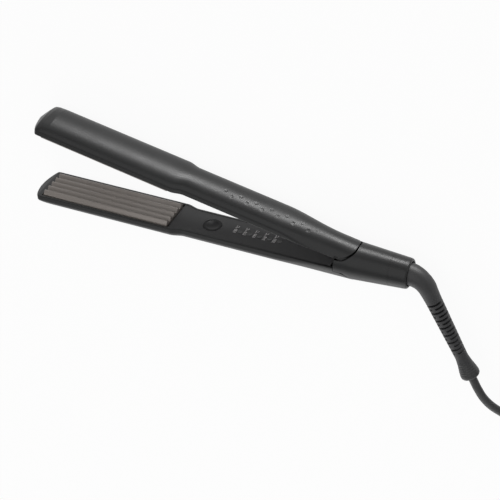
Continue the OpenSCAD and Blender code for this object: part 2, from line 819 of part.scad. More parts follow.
module cord_tie() {
  tie_w = 12;
  band = 1;
  inner_half = hank_outer_r - (fold_r - waist_half) + lead_r + 1;
  inner_h = hank_start[2] + layer_h + waist_lift + lead_r + 0.4;
  color("#17181a") translate([hank_centre[0] - tie_w / 2, hank_centre[1], 0])
    rotate([90, 0, 90]) linear_extrude(tie_w) difference() {
      band_outline(inner_half + band, 0, inner_h + band, 3.4);
      band_outline(inner_half, band, inner_h, 2.4);
    }
}

module band_outline(half, z0, z1, r) {
  for (y = [-half + r, half - r], z = [z0 + r, z1 - r])
    translate([y, z]) circle(r, $fn = 32);
  translate([-half, z0 + r]) square([2 * half, z1 - z0 - 2 * r]);
  translate([-half + r, z0]) square([2 * (half - r), z1 - z0]);
}

module at_plug() {
  translate([plug_x, hank_end[1], plug_axis_z]) rotate([0, 90, 0]) children();
}

module plug_body() {
  face_w = 35;
  face_t = 13.6;
  color("#1d1e20") at_plug() {
    cylinder(r = lead_r + 1.3, h = 8, $fn = 48);
    hull() {
      translate([0, 0, 6]) cylinder(r = lead_r + 1.6, h = 0.5, $fn = 32);
      translate([0, 0, plug_l - 12]) plug_slice(face_w - 4, face_t, 1);
    }
    hull() {
      translate([0, 0, plug_l - 12]) plug_slice(face_w - 4, face_t, 1);
      translate([0, 0, plug_l - 1]) plug_slice(face_w, face_t, 1);
    }
  }
}

// Six-sided slice of a flat two-pin plug
module plug_slice(w, t, h) {
  linear_extrude(h) polygon([
    [-t / 2, -w / 2 + 5], [-t / 2, w / 2 - 5], [-1.5, w / 2], [1.5, w / 2],
    [t / 2, w / 2 - 5], [t / 2, -w / 2 + 5], [1.5, -w / 2], [-1.5, -w / 2]]);
}

module plug_pins() {
  pin_r = plug_pin_d / 2;
  color("#c9b37a") at_plug()
    for (side = [-1, 1])
      translate([0, side * plug_pin_pitch / 2, plug_l]) {
        cylinder(r = pin_r, h = plug_pin_l - pin_r, $fn = 48);
        translate([0, 0, plug_pin_l - pin_r]) sphere(pin_r, $fn = 48);
      }
}

lower_shell();
lower_cover();
lower_plate();
lower_plate_seat();
lower_heater();
lower_insulator();
thermal_fuse();
circuit_board();
board_parts();
light_guides();
power_button();
hinge_housing();
rear_ring();
lower_bracket();
lower_screws();
hinge_pin();
arm_spring();
upper_shell();
upper_cover();
upper_plate();
upper_plate_seat();
upper_heater();
upper_insulator();
temperature_sensor();
upper_bracket();
upper_screws();
cord_swivel();
strain_relief();
power_cord();
cord_hank();
cord_tie();
plug_body();
plug_pins();
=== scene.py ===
"""Hair crimper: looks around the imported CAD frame.

Shapes are written in millimetres in an arm's own frame, as in the CAD source: the hinge axis
is Z through the origin, the tip is at -X, and the plates meet in the plane y = 0.
"""

import math

import bmesh
import bpy
import numpy as np
from mathutils import Euler, Matrix, Vector


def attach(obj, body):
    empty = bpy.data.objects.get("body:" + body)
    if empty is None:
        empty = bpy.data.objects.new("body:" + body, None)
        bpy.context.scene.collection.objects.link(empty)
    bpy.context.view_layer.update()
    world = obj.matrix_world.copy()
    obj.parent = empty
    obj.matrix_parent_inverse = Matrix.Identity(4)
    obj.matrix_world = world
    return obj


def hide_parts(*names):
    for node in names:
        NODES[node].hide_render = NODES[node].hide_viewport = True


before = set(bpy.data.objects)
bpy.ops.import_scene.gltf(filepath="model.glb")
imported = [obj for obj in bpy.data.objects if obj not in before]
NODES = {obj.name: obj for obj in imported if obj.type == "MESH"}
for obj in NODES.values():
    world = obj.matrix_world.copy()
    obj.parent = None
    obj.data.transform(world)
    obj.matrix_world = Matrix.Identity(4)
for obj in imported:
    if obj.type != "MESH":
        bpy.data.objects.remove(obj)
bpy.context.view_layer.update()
MM = 0.001
scene = bpy.context.scene

# ---- Sizes shared with the CAD source ----
ARM_W, HANDLE_W, ARM_H, SIDE_H, WALL, LIP = 28.6, 24.2, 11.0, 4.5, 1.5, 1.6
TIP_L, TIP_R, TIP_H, HANDLE_L, WAIST_L, OPEN = 7.5, 28.0, 4.6, 133.0, 9.0, 11.6
PLATE_L, PLATE_W, WAVES, WAVE_H, PLATE_BASE, CLOSED_GAP = 90.0, 24.0, 5, 2.2, 3.2, 0.6
BUTTON_BACK, LIGHT_BACK, LIGHT_PITCH, LIGHTS = 26.8, 19.1, 6.7, 5
HUB_R, HUB_REAR_R, HUB_NOSE, HUB_BACK, HUB_DROP = 12.0, 9.5, 19.6, 26.2, 0.8
HUB_WALL, RING_L, SEAM_R, SEAM_GAP, RIM_GAP = 1.4, 11.4, 8.0, 0.25, 0.8
BLEND_L, UPPER_DROP, EDGE_R = 38.0, 1.8, 0.4
LEAD_D, ROOT_R, ELBOW_R, ELBOW_ANGLE = 5.4, 7.3, 15.0, 63.2
RELIEF_L, RELIEF_R, SLOT_START, SLOTS, SLOT_PITCH = 66.8, 5.9, 9.0, 14, 2.86
HANK_RUN, HANK_GAP, LAYER_GAP, FOLD_R = 95.0, 1.1, 0.6, 17.0
TURNS, RUN_SHARE, WAIST_HALF, WAIST_LIFT = 6.25, 0.25, 3.3, 1.4
PLUG_L, PLUG_H, PLUG_AHEAD = 36.0, 7, 32.4

# ---- Sizes that follow the photograph more closely than the CAD source ----
WAIST_BACK = 2.5    # from the plate's end to the waist: 2.5 less
SLOT_W = 1.15       # of the strain relief: 0.25 more

PLATE_END = -HANDLE_L
PLATE_START = PLATE_END - PLATE_L
TIP_X = PLATE_START - TIP_L
WAIST_START = PLATE_END + WAIST_BACK
CAVITY_START = PLATE_START - 0.8
LIGHT_X = PLATE_END + BUTTON_BACK + LIGHT_BACK
COVER_FACE = LIP + 0.2
NOSE_X = -HUB_NOSE
CONE_START = NOSE_X + 9.6
RING_X = HUB_BACK - RING_L
TONGUE_X, TONGUE_W = NOSE_X + 10.4, HUB_R - 1.6
LOWER_SEAM_X, LOWER_W = NOSE_X + 12.6, HUB_R - 0.65
BLEND_START = NOSE_X - 2.4 - BLEND_L
ROOT_X = RING_X + 1
ELBOW_X = HUB_BACK - 2.2
# Half width, centre height and back height of each arm where it meets the housing
LOWER_REAR = (HUB_R, HUB_DROP, HUB_R + HUB_DROP)
UPPER_REAR = (HUB_R, -HUB_DROP - UPPER_DROP, HUB_R - HUB_DROP - UPPER_DROP)

open_turn = math.radians(OPEN)
top_y = (HANDLE_L + PLATE_L) * math.sin(open_turn) + (ARM_H - 0.7) * math.cos(open_turn)
MID = np.array([(TIP_X + HUB_BACK) / 2, (top_y - HUB_DROP - HUB_R) / 2, -ARM_W / 2])


# ---- Places: each takes points in millimetres and gives metres in the row frame ----
def laid(p):
    return (np.asarray(p, float) - MID) * MM


def lower_side(p):
    return laid(np.asarray(p, float) * [1, -1, 1])


def turned(angle):
    """Place of an upper arm that is open by an angle in degrees."""
    c, s = math.cos(math.radians(angle)), math.sin(math.radians(angle))

    def place(p):
        x, y, z = np.moveaxis(np.asarray(p, float), -1, 0)
        return laid(np.stack([x * c + y * s, y * c - x * s, z], -1))
    return place


upper_side = turned(OPEN)


# ---- Numbers ----
def smooth(t):
    """Smooth step from 0 at t = 0 to 1 at t = 1."""
    u = min(1.0, max(0.0, t))
    return u * u * (3 - 2 * u)


def mix(a, b, t):
    return a + (b - a) * t


def circle(sides):
    """Angles of the points round a circle."""
    return np.arange(sides) * 2 * math.pi / sides


def quarter_turn(points):
    """Angles from 0 to a quarter turn."""
    return np.linspace(0, math.pi / 2, points)


# ---- Camera, fitted to the photograph's outline ----
CAMERA_PLACE = (0.36291, 0.56345, 0.69719)
CAMERA_ANGLES = (-39.1305, 24.8640, -2.3660)
CAMERA_LENS, CAMERA_SENSOR = 111.03, 36

camera = bpy.data.objects.new("camera", bpy.data.cameras.new("camera"))
scene.collection.objects.link(camera)
camera.location = CAMERA_PLACE
camera.rotation_euler = Euler([math.radians(a) for a in CAMERA_ANGLES])
camera.data.sensor_width = CAMERA_SENSOR
camera.data.lens = CAMERA_LENS
camera.data.clip_start = 0.05
camera.data.clip_end = 20
scene.camera = camera
scene.view_settings.view_transform = "Standard"


# ---- Materials ----
FINE_DETAIL, BROAD_DETAIL = 2, 4
COLOR_STOPS = (0.3, 0.7)            # of the broad noise
ROUGH_STOPS = (0.35, 0.65)          # of the mean of both noises
ROUGH_SPREAD = 0.07
BUMP_DEPTH = 0.00005


def math_node(tree, operation, *values):
    """Output of a Math node; each value is a number or another node's output."""
    node = tree.nodes.new("ShaderNodeMath")
    node.operation = operation
    for socket, value in zip(node.inputs, values):
        if isinstance(value, bpy.types.NodeSocket):
            tree.links.new(value, socket)
        else:
            socket.default_value = value
    return node.outputs[0]


def material(name, color, rough, grain=2600, bump=0.12, spread=0.1, metallic=0.0,
             specular=0.5, coat=0.0, stretch=(1, 1, 1), cloud=45):
    """Principled material whose colour, roughness and bump vary with two noises."""
    m = bpy.data.materials.new(name)
    m.use_nodes = True
    tree = m.node_tree
    nodes, links = tree.nodes, tree.links
    shader = nodes["Principled BSDF"]
    shader.inputs["Metallic"].default_value = metallic
    shader.inputs["Specular IOR Level"].default_value = specular
    shader.inputs["Coat Weight"].default_value = coat
    coords = nodes.new("ShaderNodeTexCoord")
    mapping = nodes.new("ShaderNodeMapping")
    mapping.inputs["Scale"].default_value = stretch
    links.new(coords.outputs["Object"], mapping.inputs["Vector"])

    def noise(scale, detail):
        n = nodes.new("ShaderNodeTexNoise")
        n.inputs["Scale"].default_value = scale
        n.inputs["Detail"].default_value = detail
        links.new(mapping.outputs["Vector"], n.inputs["Vector"])
        return n.outputs["Fac"]

    fine, broad = noise(grain, FINE_DETAIL), noise(cloud, BROAD_DETAIL)
    ramp = nodes.new("ShaderNodeValToRGB")
    for stop, at, k in zip(ramp.color_ramp.elements, COLOR_STOPS, (1 - spread, 1 + spread)):
        stop.position = at
        stop.color = [c * k for c in color] + [1]
    links.new(broad, ramp.inputs["Fac"])
    links.new(ramp.outputs["Color"], shader.inputs["Base Color"])
    mean = math_node(tree, "MULTIPLY_ADD", fine, 0.5, math_node(tree, "MULTIPLY", broad, 0.5))
    spans = nodes.new("ShaderNodeMapRange")
    spans.inputs["From Min"].default_value = ROUGH_STOPS[0]
    spans.inputs["From Max"].default_value = ROUGH_STOPS[1]
    spans.inputs["To Min"].default_value = rough - ROUGH_SPREAD
    spans.inputs["To Max"].default_value = rough + ROUGH_SPREAD
    links.new(mean, spans.inputs["Value"])
    links.new(spans.outputs["Result"], shader.inputs["Roughness"])
    relief = nodes.new("ShaderNodeBump")
    relief.inputs["Strength"].default_value = bump
    relief.inputs["Distance"].default_value = BUMP_DEPTH
    links.new(fine, relief.inputs["Height"])
    links.new(relief.outputs["Normal"], shader.inputs["Normal"])
    return m


soft_plastic = material("soft_touch", (0.0085, 0.0087, 0.0091), 0.36, bump=0.05, specular=0.33)
cover_plastic = material("inner_cover_plastic", (0.058, 0.058, 0.059), 0.58, grain=3400,
                         bump=0.2, specular=0.2)
plate_coating = material("plate_coating", (0.24, 0.215, 0.197), 0.38, grain=900, bump=0.10,
                         metallic=0.15, stretch=(0.06, 1, 1), spread=0.08)
seat_plastic = material("seat_plastic", (0.014, 0.014, 0.015), 0.5)
ceramic = material("ceramic", (0.68, 0.64, 0.56), 0.7)
mica = material("mica", (0.45, 0.34, 0.17), 0.45, cloud=300, spread=0.3)
steel = material("bracket_steel", (0.42, 0.43, 0.44), 0.38, metallic=1, stretch=(0.2, 1, 1))
black_steel = material("bracket_black", (0.022, 0.022, 0.023), 0.5, metallic=0.2, specular=0.3)
board = material("board_green", (0.02, 0.11, 0.045), 0.4, coat=0.4)
board_part = material("board_part_plastic", (0.03, 0.03, 0.032), 0.55)
light_guide = material("light_guide", (0.03, 0.03, 0.032), 0.25, bump=0.02)
button_plastic = material("button_gloss", (0.008, 0.008, 0.009), 0.36, bump=0.03, specular=0.12)
cord_rubber = material("lead_jacket", (0.020, 0.020, 0.021), 0.52, grain=1800, bump=0.2)
relief_rubber = material("relief_rubber", (0.016, 0.016, 0.017), 0.5, grain=2200, bump=0.15)
tie_rubber = material("tie_rubber", (0.012, 0.012, 0.013), 0.6, bump=0.25)
plug_plastic = material("plug_plastic", (0.018, 0.018, 0.019), 0.45, bump=0.15)
pin_metal = material("pin_metal", (0.62, 0.56, 0.42), 0.28, metallic=1, stretch=(0.3, 1, 1))
print_white = material("number_print", (0.62, 0.60, 0.60), 0.55)
ring_black = material("window_ring", (0.006, 0.006, 0.006), 0.3)

CAD_LOOKS = {
    "lower_shell": soft_plastic, "upper_shell": soft_plastic, "hinge_housing": soft_plastic,
    "rear_ring": soft_plastic, "lower_cover": cover_plastic, "upper_cover": cover_plastic,
    "lower_plate": plate_coating, "upper_plate": plate_coating,
    "lower_plate_seat": seat_plastic, "upper_plate_seat": seat_plastic,
    "lower_heater": ceramic, "upper_heater": ceramic, "lower_insulator": mica,
    "upper_insulator": mica, "thermal_fuse": steel, "temperature_sensor": steel,
    "circuit_board": board, "board_parts": board_part, "light_guides": light_guide,
    "power_button": button_plastic, "lower_bracket": black_steel, "upper_bracket": black_steel,
    "lower_screws": black_steel, "upper_screws": black_steel, "hinge_pin": steel,
    "arm_spring": black_steel, "cord_swivel": board_part, "strain_relief": relief_rubber,
    "power_cord": cord_rubber, "cord_hank": cord_rubber, "cord_tie": tie_rubber,
    "plug_body": plug_plastic, "plug_pins": pin_metal,
}
for node, look in CAD_LOOKS.items():
    NODES[node].data.materials.clear()
    NODES[node].data.materials.append(look)


# ---- Mesh helpers ----
def new_object(name, data):
    obj = bpy.data.objects.new(name, data)
    scene.collection.objects.link(obj)
    return obj


def new_mesh(name, verts, faces):
    """Mesh from points and faces, its normals turned outwards."""
    data = bpy.data.meshes.new(name)
    data.from_pydata([tuple(v) for v in verts], [], [tuple(f) for f in faces])
    mesh = bmesh.new()
    mesh.from_mesh(data)
    bmesh.ops.recalc_face_normals(mesh, faces=mesh.faces)
    mesh.to_mesh(data)
    mesh.free()
    return data


def finish_piece(name, data, look, body, replaces=(), slot=None, sharp=32):
    """Piece of the visual model from a mesh, smooth except at edges over sharp degrees."""
    data.materials.clear()
    data.materials.append(look)
    data.polygons.foreach_set("use_smooth", [True] * len(data.polygons))
    data.set_sharp_from_angle(angle=math.radians(sharp))
    obj = new_object(name, data)
    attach(obj, body)
    if replaces:
        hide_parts(*replaces)
    return obj


def piece(name, verts, faces, look, body, replaces=(), slot=None, sharp=32):
    """Piece of the visual model from points in metres in the row frame."""
    return finish_piece(name, new_mesh(name, verts, faces), look, body, replaces, slot, sharp)


def loft_faces(rings, points):
    """Quads between consecutive closed rings of the same number of points."""
    return [(k * points + i, k * points + (i + 1) % points,
             (k + 1) * points + (i + 1) % points, (k + 1) * points + i)
            for k in range(rings - 1) for i in range(points)]


def end_caps(rings, points):
    """Faces that close both ends of a loft."""
    return [tuple(range(points)), tuple(range((rings - 1) * points, rings * points))]


def revolved(profile, sides):
    """Closed solid of revolution round Z from a closed profile of (radius, height)."""
    a = circle(sides)
    verts = np.concatenate([np.stack([r * np.cos(a), r * np.sin(a), np.full(sides, h)], -1)
                            for r, h in profile])
    n = len(profile)
    faces = [(k * sides + i, k * sides + (i + 1) % sides,
              ((k + 1) % n) * sides + (i + 1) % sides, ((k + 1) % n) * sides + i)
             for k in range(n) for i in range(sides)]
    return verts, faces


def prism(outline, y0, y1, place):
    """Closed prism over a plan outline of (x, z) from height y0 to y1."""
    n = len(outline)
    low = [(x, y0, z) for x, z in outline]
    high = [(x, y1, z) for x, z in outline]
    faces = [list(range(n)), list(range(2 * n - 1, n - 1, -1))]
    faces += [(i, i + n, (i + 1) % n + n, (i + 1) % n) for i in range(n)]
    return place(np.array(low + high)), faces


def carved(verts, faces, cutters):
    """Mesh left when the cutters, a list of (verts, faces), are taken out of a solid."""
    base = new_object("carving_base", new_mesh("carving_base", verts, faces))
    tools = [new_object(f"carving_tool_{i}", new_mesh(f"carving_tool_{i}", *cutter))
             for i, cutter in enumerate(cutters)]
    for tool in tools:
        cut = base.modifiers.new("cut", "BOOLEAN")
        cut.operation = "DIFFERENCE"
        cut.solver = "EXACT"
        cut.object = tool
    graph = bpy.context.evaluated_depsgraph_get()
    graph.update()
    data = bpy.data.meshes.new_from_object(base.evaluated_get(graph))
    for obj in [base, *tools]:
        bpy.data.objects.remove(obj)
    return data


class RingMesh:
    """Mesh that grows by rings of points and by the faces between them."""

    def __init__(self):
        self.verts, self.faces = [], []

    def ring(self, x, points):
        """Adds points (z, y) at x, one number or one for each, and returns their indices."""
        first = len(self.verts)
        xs = np.broadcast_to(x, len(points))
        self.verts.extend((at, y, z) for at, (z, y) in zip(xs, points))
        return list(range(first, len(self.verts)))

    def strip(self, a, b, close=False):
        """Adds the quads between two rings, open or closed, of the same number of points."""
        n = len(a)
        for i in range(n if close else n - 1):
            self.faces.append((a[i], a[(i + 1) % n], b[(i + 1) % n], b[i]))


# ---- Arm sections, as in the CAD source ----
CORNER_POWER = 20                       # rounds the corners between the tip and the sides
BEVEL_L = 12
BEVEL_AT, BEVEL_RISE = (0, 4.2, 7, BEVEL_L), (0, 0.69, 0.89, 1)
TIP_CENTRE_DROP, TIP_CENTRE_SLOPE = 1.6, 0.4
TIP_LIFT, TIP_LIFT_SLOPE = 1.2, 0.3     # of the rim at the tip
RIM_MIN = 0.3
RIM_POINTS, EDGE_POINTS, SIDE_POINTS, BACK_POINTS = 3, 4, 12, 44
SIDE_FINE, BACK_FINE, INNER_FINE = 40, 120, 60      # points before they are evenly spaced


def section_sizes(x, rear):
    """Half width, centre height and back height of an arm at x."""
    d = min(TIP_R, x - TIP_X)
    tip = math.sqrt(max(0.01, TIP_R ** 2 - (TIP_R - d) ** 2))
    blend = smooth((x - BLEND_START) / BLEND_L)
    plan = mix(mix(ARM_W / 2, HANDLE_W / 2, smooth((x - WAIST_START) / WAIST_L)), rear[0], blend)
    half = (tip ** -CORNER_POWER + plan ** -CORNER_POWER) ** (-1 / CORNER_POWER)
    tip_centre = TIP_H - TIP_CENTRE_DROP + (x - TIP_X) * TIP_CENTRE_SLOPE
    centre = mix(min(SIDE_H, tip_centre), rear[1], blend)
    rise = np.interp(x - TIP_X, BEVEL_AT, BEVEL_RISE)
    return half, centre, mix(mix(TIP_H, ARM_H, rise), rear[2], blend)


def resample(points, count):
    """count points evenly spaced along a polyline, its first point left out."""
    p = np.array(points, float)
    steps = np.concatenate([[0], np.cumsum(np.linalg.norm(np.diff(p, axis=0), axis=1))])
    at = np.linspace(0, steps[-1], count + 1)[1:]
    return np.stack([np.interp(at, steps, p[:, i]) for i in range(2)], -1)


def mirrored(half_path):
    """Whole path of (z, y) from its half up to the middle of the back."""
    return np.array(half_path + [(-z, y) for z, y in half_path[-2::-1]])


def wall_outline(x, rear, corner_z, mid_share):
    """Outer path (z, y) from one rim to the other, and the inner path between the same ends."""
    half, c, back = section_sizes(x, rear)
    edge = LIP + max(0.0, TIP_LIFT - (x - TIP_X) * TIP_LIFT_SLOPE)
    b = back - c
    low = edge + EDGE_R
    inner_half, inner_b = half - WALL, b - WALL

    def arc(half_width, height, start, end, points):
        return [(half_width * math.cos(t), c + height * math.sin(t))
                for t in np.linspace(start, end, points)]

    # Rim: flat between the inner wall and a rounded outer edge
    side_start = math.asin((low - c) / b) if c < low else 0.0
    side_w = half * math.cos(side_start)
    inner_start = math.asin((edge - c) / inner_b) if c < edge else 0.0
    if inner_half > 0.5:
        z_in = max(RIM_MIN, inner_half * math.cos(inner_start))
    else:
        z_in = 0.3 * side_w
    z_in = min(z_in, side_w - EDGE_R - 0.1)
    z_out = side_w - EDGE_R
    outer = [(z_in, edge), (mix(z_in, z_out, mid_share), edge), (z_out, edge)]
    for step in range(1, EDGE_POINTS + 1):
        a = math.radians(90 * step / EDGE_POINTS)
        outer.append((z_out + EDGE_R * math.sin(a), low - EDGE_R * math.cos(a)))

    # Side and back: they meet at the height across where the tongue's shoulder is
    shoulder = math.acos(corner_z / HUB_R)
    side = [(side_w, low)] + ([(side_w, c)] if c > low else [])
    side += arc(half, b, side_start, shoulder, SIDE_FINE)[1:]
    outer += resample(side, SIDE_POINTS).tolist()
    back_arc = arc(half, b, shoulder, math.pi / 2, BACK_FINE)
    outer += resample(back_arc, BACK_POINTS).tolist()

    inner = [(z_in, edge)] + ([(inner_half, c)] if c > edge else [])
    inner += arc(inner_half, inner_b, inner_start, math.pi / 2, INNER_FINE)[1:]
    inner = [inner[0]] + resample(inner, len(outer) - 1).tolist()
    return mirrored(outer), mirrored(inner)


# ---- Arms ----
TONGUE_RINGS, TONGUE_EDGE = 22, 0.35
DIMPLES, DIMPLE_START, DIMPLE_PITCH = 13, -98.0, 5.2
DIMPLE_ROWS = (2.7, 5.4)                # z of the dimples, in turns
DIMPLE_R, DIMPLE_DEPTH, DIMPLE_REACH = 1.4, 0.16, 1.54
DIMPLE_SLOPE, DIMPLE_POWER = 1.9, 1.5   # of a dimple's wall; inside it the floor is flat


def end_reach(z, end_x, half):
    """x at which an arm's rounded end outline lies, for a height z across the arm."""
    over = np.maximum(0, np.abs(z) - (half - SEAM_R))
    return end_x - SEAM_R + np.sqrt(np.maximum(0, SEAM_R ** 2 - over ** 2))


def add_tongue(mesh, outer_ring, outer, inner_ring, inner, centre_y, front, end_x, end_half):
    """Constant section inside the housing's mouth, with a rounded end outline and edge."""
    corner = RIM_POINTS + EDGE_POINTS + SIDE_POINTS - 1
    n = len(outer_ring)
    assert abs(outer[corner][0] - end_half) < 0.02, outer[corner]
    for ring in (outer_ring, inner_ring):
        mesh.faces.append(tuple(ring[1:corner + 1]))
        mesh.faces.append(tuple(ring[n - 1 - corner:n - 1]))
    # Only the inner half of the rim and what lies above the shoulders goes on
    kept = [0, 1] + list(range(corner, n - corner)) + [n - 2, n - 1]
    base, inner_base = outer[kept], inner[kept]
    away = base - [0, centre_y]
    outward = away / np.linalg.norm(away, axis=1)[:, None]
    outward[[0, 1, -1, -2]] = 0
    reach = end_reach(base[:, 0], end_x, end_half) - TONGUE_EDGE
    inner_reach = end_reach(inner_base[:, 0], end_x, end_half) - TONGUE_EDGE
    last = [outer_ring[i] for i in kept]
    inner_last = [inner_ring[i] for i in kept]
    steps = [(share, 0.0, 0.0) for share in np.linspace(0, 1, TONGUE_RINGS)[1:]]
    steps += [(1.0, TONGUE_EDGE * math.sin(a), TONGUE_EDGE * (1 - math.cos(a)))
              for a in (math.pi / 6, math.pi / 3, math.pi / 2)]
    for share, ahead, inset in steps:
        now = mesh.ring(mix(front, reach, share) + ahead, base - outward * inset)
        x_in = mix(front, inner_reach, share) + ahead
        inner_now = [now[0]] + mesh.ring(x_in[1:-1], inner_base[1:-1]) + [now[-1]]
        mesh.strip(last, now)
        mesh.strip(inner_last, inner_now)
        last, inner_last = now, inner_now
    m = len(last)
    for i in range(1, m - 2):
        mesh.faces.append((last[i], last[i + 1], inner_last[i + 1], inner_last[i]))
    mesh.faces.append((last[0], last[1], inner_last[1]))
    mesh.faces.append((last[m - 1], inner_last[m - 2], last[m - 2]))


def arm_skin(rear, front, end_x, end_half, stations):
    """Vertices and faces of a whole hollow arm in its own frame.

    The tongue runs from x = front to its end outline at end_x, of half width end_half.
    """
    probe_outer, probe_inner = wall_outline(front, rear, end_half, 0.5)
    mid_share = (end_half - probe_inner[0][0]) / (probe_outer[2][0] - probe_inner[0][0])
    solid = [x for x in stations if x <= CAVITY_START] + [CAVITY_START]
    hollow = [x for x in stations if x > CAVITY_START] + [front]
    mesh = RingMesh()
    last = mesh.ring(solid[0], wall_outline(solid[0], rear, end_half, mid_share)[0])
    mesh.faces.append(tuple(last))
    for x in solid[1:]:
        outer, inner = wall_outline(x, rear, end_half, mid_share)
        now = mesh.ring(x, outer)
        mesh.strip(last, now, close=True)
        last = now
    inner_last = [last[0]] + mesh.ring(CAVITY_START, inner[1:-1]) + [last[-1]]
    mesh.faces.append(tuple(inner_last))
    for x in hollow:
        outer, inner = wall_outline(x, rear, end_half, mid_share)
        now = mesh.ring(x, outer)
        inner_now = [now[0]] + mesh.ring(x, inner[1:-1]) + [now[-1]]
        mesh.strip(last, now)
        mesh.strip(inner_last, inner_now)
        last, inner_last = now, inner_now
    add_tongue(mesh, last, outer, inner_last, inner, rear[1], front, end_x, end_half)
    return np.array(mesh.verts, float), mesh.faces


def press_dimple(verts, rear, x, z):
    """Presses a round dimple with a flat floor into the outer side of an arm's back."""
    away = np.hypot(verts[:, 0] - x, verts[:, 2] - z) / DIMPLE_R
    half, c, back = section_sizes(x, rear)
    mid_wall = c + (back - c - WALL / 2) * math.sqrt(1 - (z / half) ** 2)
    depth = DIMPLE_DEPTH * np.clip(DIMPLE_SLOPE * (1 - away), 0, 1) ** DIMPLE_POWER
    verts[:, 1] -= np.where(verts[:, 1] > mid_wall - 0.2, depth, 0)


def arm_stations(fine=()):
    """x of an arm's sections: dense on the bevel and the waist, with any fine ones added."""
    waist_end = WAIST_START + WAIST_L
    xs = [TIP_X + 0.09 + BEVEL_L * (i / 40) ** 1.6 for i in range(41)]
    for start, end, count in ((TIP_X + 14, WAIST_START - 2, 24),
                              (WAIST_START - 1, waist_end + 1, 34),
                              (waist_end + 2, NOSE_X - 1, 90)):
        xs += list(np.linspace(start, end, count))
    xs += list(fine) + [TIP_X + at for at in BEVEL_AT[1:]]
    return sorted({round(x, 3) for x in xs
                   if x < NOSE_X - 0.8 and abs(x - CAVITY_START) > 0.05})


dimples = [(DIMPLE_START + DIMPLE_PITCH * i, DIMPLE_ROWS[i % 2]) for i in range(DIMPLES)]
around_dimples = [x + step for x, _ in dimples
                  for step in np.linspace(-DIMPLE_REACH, DIMPLE_REACH, 12)]
upper_verts, upper_faces = arm_skin(UPPER_REAR, NOSE_X - 0.5, TONGUE_X, TONGUE_W,
                                    arm_stations(around_dimples))
for x, z in dimples:
    press_dimple(upper_verts, UPPER_REAR, x, z)
piece("upper_arm_skin", upper_side(upper_verts), upper_faces, soft_plastic, "upper_arm",
      ["upper_shell"], "soft_plastic")
lower_verts, lower_faces = arm_skin(LOWER_REAR, NOSE_X - SEAM_GAP, LOWER_SEAM_X - SEAM_GAP,
                                    LOWER_W, arm_stations())
piece("lower_arm_skin", lower_side(lower_verts), lower_faces, soft_plastic, "lower_arm",
      ["lower_shell"], "soft_plastic")


# ---- Heating plates, with a fine wave and softened ends ----
PLATE_SOFT, PLATE_RIM_H, PLATE_STEP, WAVE_POINTS = 0.25, 1.1, 0.8, 36


def crimp_plate(phase, side):
    """Corrugated plate; phase 1 has a valley in the middle of its face and -1 a ridge."""
    bottom = CLOSED_GAP / 2 + WAVE_H / 2 + PLATE_BASE - 0.1
    rim = bottom - PLATE_RIM_H
    foot = (PLATE_W - 2 * PLATE_STEP) / 2
    pitch = PLATE_W / WAVES
    z = np.linspace(-PLATE_W / 2, PLATE_W / 2, WAVES * WAVE_POINTS + 1)
    face = np.stack([z, CLOSED_GAP / 2 - phase * WAVE_H / 2 * np.cos(2 * math.pi * z / pitch)], -1)
    under = np.array([[PLATE_W / 2, rim], [foot, rim], [foot, bottom], [-foot, bottom],
                      [-foot, rim], [-PLATE_W / 2, rim]])
    ends = [(0, PLATE_SOFT), (PLATE_SOFT * 0.3, PLATE_SOFT * 0.3), (PLATE_SOFT, 0)]
    sections = ends + [(PLATE_L - x, inset) for x, inset in ends[::-1]]
    verts = [(PLATE_START + x, y, z) for x, inset in sections
             for z, y in np.concatenate([face + [0, inset], under])]
    n = len(face) + len(under)
    return side(verts), loft_faces(len(sections), n) + end_caps(len(sections), n)


piece("lower_crimp_plate", *crimp_plate(1, lower_side), plate_coating, "lower_arm",
      ["lower_plate"], "plate_coating", sharp=50)
piece("upper_crimp_plate", *crimp_plate(-1, upper_side), plate_coating, "upper_arm",
      ["upper_plate"], "plate_coating", sharp=50)


# ---- Hinge housing and rear ring ----
HUB_SIDES = 192
HUB_SOFT = 0.3                          # rounding of the housing's front edge
BULKHEAD_X, BULKHEAD_T, BULKHEAD_BORE_R = RING_X - 8, 2, 3
SEAT_INSET = 0.5                        # of the ring's seat in the housing
RING_FOOT, RING_EDGE, BORE_R = 3.2, 1.3, ROOT_R + 0.6
CUT_FROM, CUT_TO, CUT_START = LIP - 0.3, 30, -45
MOUTH_W = TONGUE_W + 0.5


def hub_r(x):
    return HUB_R + (HUB_REAR_R - HUB_R) * max(0, (x - CONE_START) / (HUB_BACK - CONE_START))


def round_the_axis(profile):
    """Solid of revolution about the housing's axis from a profile of (radius, x)."""
    points, faces = revolved(profile, HUB_SIDES)
    across, up, along = points.T
    return laid(np.stack([along, across - HUB_DROP, up], -1)), faces


def end_outline(end_x, half):
    """Plan outline of a cutter with the rounded end of an arm."""
    arc = [(end_x - SEAM_R + SEAM_R * math.cos(a), half - SEAM_R + SEAM_R * math.sin(a))
           for a in quarter_turn(33)]
    return arc + [(CUT_START, half), (CUT_START, -half)] + [(x, -z) for x, z in arc[::-1]]


